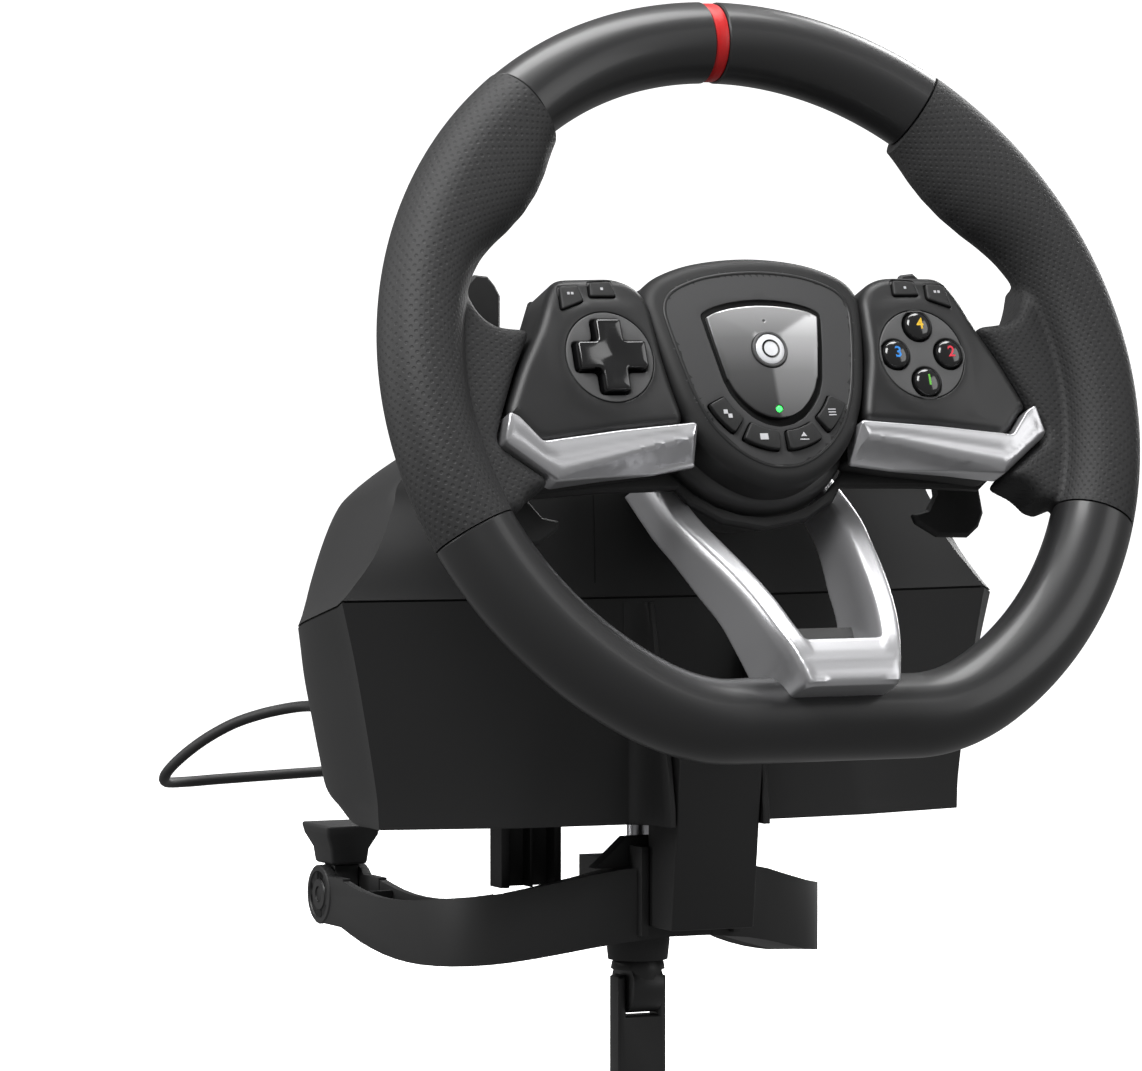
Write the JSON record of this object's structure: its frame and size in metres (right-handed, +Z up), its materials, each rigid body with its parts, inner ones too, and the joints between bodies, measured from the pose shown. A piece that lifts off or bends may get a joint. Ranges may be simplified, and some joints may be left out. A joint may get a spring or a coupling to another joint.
{
  "type": "racing wheel controller",
  "caption": "Desk-clamped steering wheel game controller with flat-bottomed rim, thumb grips, button pods, shift paddles, silver spokes, centring base and USB lead.",
  "frame": {"origin": "centre of the underside of the rubber pad that rests on the desk top", "axes": "+X to the driver's right, +Y away from the driver over the desk, +Z up; the steering axis leans back 21.4 degrees"},
  "size_m": [0.281, 0.3862, 0.3872],
  "materials": {
    "rim_satin": "satin soft-touch dark grey",
    "grip_rubber": "matte charcoal rubber with fine dots",
    "red_band": "satin red",
    "black_plastic": "fine textured near-black",
    "satin_plastic": "satin charcoal",
    "dish_grey": "fine grain dark grey",
    "gloss_black": "glossy black",
    "silver_paint": "silver metallic paint",
    "shield_silver": "brushed silver",
    "button_white": "pearl white",
    "green_light": "green lens",
    "steel": "machined",
    "dark_rubber": "black rubber"
  },
  "bodies": {
    "base": {"lower_housing": "black_plastic", "upper_cover": "black_plastic", "bottom_plate": "black_plastic", "desk_pad": "dark_rubber", "clamp_column": "black_plastic", "bearing_block": "black_plastic", "front_bearing": "steel", "rear_bearing": "steel", "centring_spring": "steel", "strain_relief": "dark_rubber", "cord": "dark_rubber", "cord_coil": "dark_rubber", "cord_tie": "dark_rubber", "usb_plug": "black_plastic", "usb_contact_shell": "steel"},
    "wheel": {"rim_arc_right": "rim_satin", "rim_arc_left": "rim_satin", "centre_band": "red_band", "grip_right": "grip_rubber", "grip_left": "grip_rubber", "lower_rim": "rim_satin", "hub_bezel": "black_plastic", "shield_plate": "shield_silver", "status_light": "green_light", "hub_rear_cover": "satin_plastic", "control_pod_right": "satin_plastic", "control_pod_left": "satin_plastic", "dpad_dish": "dish_grey", "button_dish": "dish_grey", "silver_arm_right": "silver_paint", "silver_arm_left": "silver_paint", "wheel_back_shell": "black_plastic", "lower_spoke": "silver_paint", "lower_spoke_liner": "black_plastic", "steering_shaft": "steel"},
    "clamp_yoke": {"clamp_arm": "black_plastic"},
    "clamp_knob": {"clamp_screw": "steel", "clamp_knuckle": "black_plastic"},
    "lever": {"clamp_lever": "black_plastic"},
    "pad_right": {"pad_bracket_right": "black_plastic", "clamp_pad_right": "dark_rubber"},
    "pad_left": {"pad_bracket_left": "black_plastic", "clamp_pad_left": "dark_rubber"},
    "rocker": {"dpad_rocker": "satin_plastic"},
    "dpad": {"dpad": "gloss_black"},
    "home": {"home_button": "button_white"},
    "paddle_right": {"shift_paddle_right": "black_plastic"},
    "paddle_left": {"shift_paddle_left": "black_plastic"},
    "view": {"view_key": "black_plastic"},
    "capture": {"capture_key": "black_plastic"},
    "share": {"share_key": "black_plastic"},
    "menu": {"menu_key": "black_plastic"},
    "face_lower": {"face_button_lower": "gloss_black"},
    "face_right": {"face_button_right": "gloss_black"},
    "face_left": {"face_button_left": "gloss_black"},
    "face_upper": {"face_button_upper": "gloss_black"},
    "inner_shoulder_right": {"inner_shoulder_button_right": "black_plastic"},
    "outer_shoulder_right": {"outer_shoulder_button_right": "black_plastic"},
    "inner_shoulder_left": {"inner_shoulder_button_left": "black_plastic"},
    "outer_shoulder_left": {"outer_shoulder_button_left": "black_plastic"}
  },
  "joints": [
    {"name": "steering", "type": "hinge", "parent": "base", "child": "wheel", "pos_m": [0, -0.1275, 0.1519], "axis": [0, -0.9311, 0.3649], "range_deg": [-135, 135], "stiffness_Nm_per_rad": 0.5},
    {"name": "yoke_slide", "type": "slide", "parent": "base", "child": "clamp_yoke", "axis": [0, 0, 1], "range_m": [-0.012, 0.004]},
    {"name": "knob_turn", "type": "hinge", "parent": "clamp_yoke", "child": "clamp_knob", "pos_m": [0, -0.0266, -0.0556], "axis": [0, 0, 1], "range_deg": [-400, 140]},
    {"name": "lever_fold", "type": "hinge", "parent": "clamp_knob", "child": "lever", "pos_m": [0, -0.0266, -0.061], "axis": [1, 0, 0], "range_deg": [-88, 88]},
    {"name": "pad_right_swivel", "type": "hinge", "parent": "clamp_yoke", "child": "pad_right", "pos_m": [0.066, 0.086, -0.0358], "axis": [1, 0, 0], "range_deg": [-10, 10]},
    {"name": "pad_left_swivel", "type": "hinge", "parent": "clamp_yoke", "child": "pad_left", "pos_m": [-0.066, 0.086, -0.0358], "axis": [1, 0, 0], "range_deg": [-10, 10]},
    {"name": "dpad_left_right", "type": "hinge", "parent": "wheel", "child": "rocker", "pos_m": [-0.0588, -0.12543, 0.16129], "axis": [0, 0.3649, 0.9311], "range_deg": [-5, 5], "stiffness_Nm_per_rad": 0.12},
    {"name": "dpad_up_down", "type": "hinge", "parent": "rocker", "child": "dpad", "pos_m": [-0.0588, -0.12543, 0.16129], "axis": [1, 0, 0], "range_deg": [-5, 5], "stiffness_Nm_per_rad": 0.12},
    {"name": "paddle_right_pull", "type": "hinge", "parent": "wheel", "child": "paddle_right", "pos_m": [0.06, -0.09725, 0.15508], "axis": [0, 0.3649, 0.9311], "range_deg": [-7, 0], "stiffness_Nm_per_rad": 0.9, "springref_deg": 1.72},
    {"name": "paddle_left_pull", "type": "hinge", "parent": "wheel", "child": "paddle_left", "pos_m": [-0.06, -0.09725, 0.15508], "axis": [0, 0.3649, 0.9311], "range_deg": [0, 7], "stiffness_Nm_per_rad": 0.9, "springref_deg": -1.72},
    {"name": "home_press", "type": "slide", "parent": "wheel", "child": "home", "axis": [0, -0.9311, 0.3649], "range_m": [-0.001, 0], "stiffness_N_per_m": 300, "springref_m": 0.0006},
    {"name": "view_press", "type": "slide", "parent": "wheel", "child": "view", "axis": [0, -0.9311, 0.3649], "range_m": [-0.0008, 0], "stiffness_N_per_m": 300, "springref_m": 0.0006},
    {"name": "capture_press", "type": "slide", "parent": "wheel", "child": "capture", "axis": [0, -0.9311, 0.3649], "range_m": [-0.0008, 0], "stiffness_N_per_m": 300, "springref_m": 0.0006},
    {"name": "share_press", "type": "slide", "parent": "wheel", "child": "share", "axis": [0, -0.9311, 0.3649], "range_m": [-0.0008, 0], "stiffness_N_per_m": 300, "springref_m": 0.0006},
    {"name": "menu_press", "type": "slide", "parent": "wheel", "child": "menu", "axis": [0, -0.9311, 0.3649], "range_m": [-0.0008, 0], "stiffness_N_per_m": 300, "springref_m": 0.0006},
    {"name": "face_lower_press", "type": "slide", "parent": "wheel", "child": "face_lower", "axis": [0, -0.9311, 0.3649], "range_m": [-0.0015, 0], "stiffness_N_per_m": 300, "springref_m": 0.0006},
    {"name": "face_right_press", "type": "slide", "parent": "wheel", "child": "face_right", "axis": [0, -0.9311, 0.3649], "range_m": [-0.0015, 0], "stiffness_N_per_m": 300, "springref_m": 0.0006},
    {"name": "face_left_press", "type": "slide", "parent": "wheel", "child": "face_left", "axis": [0, -0.9311, 0.3649], "range_m": [-0.0015, 0], "stiffness_N_per_m": 300, "springref_m": 0.0006},
    {"name": "face_upper_press", "type": "slide", "parent": "wheel", "child": "face_upper", "axis": [0, -0.9311, 0.3649], "range_m": [-0.0015, 0], "stiffness_N_per_m": 300, "springref_m": 0.0006},
    {"name": "inner_shoulder_right_press", "type": "slide", "parent": "wheel", "child": "inner_shoulder_right", "axis": [0, -0.9311, 0.3649], "range_m": [-0.001, 0], "stiffness_N_per_m": 300, "springref_m": 0.0006},
    {"name": "outer_shoulder_right_press", "type": "slide", "parent": "wheel", "child": "outer_shoulder_right", "axis": [0, -0.9311, 0.3649], "range_m": [-0.001, 0], "stiffness_N_per_m": 300, "springref_m": 0.0006},
    {"name": "inner_shoulder_left_press", "type": "slide", "parent": "wheel", "child": "inner_shoulder_left", "axis": [0, -0.9311, 0.3649], "range_m": [-0.001, 0], "stiffness_N_per_m": 300, "springref_m": 0.0006},
    {"name": "outer_shoulder_left_press", "type": "slide", "parent": "wheel", "child": "outer_shoulder_left", "axis": [0, -0.9311, 0.3649], "range_m": [-0.001, 0], "stiffness_N_per_m": 300, "springref_m": 0.0006}
  ],
  "couplings": [
    {"joint": "knob_turn", "follows": "yoke_slide", "rad_per_m": 523.6}
  ]
}
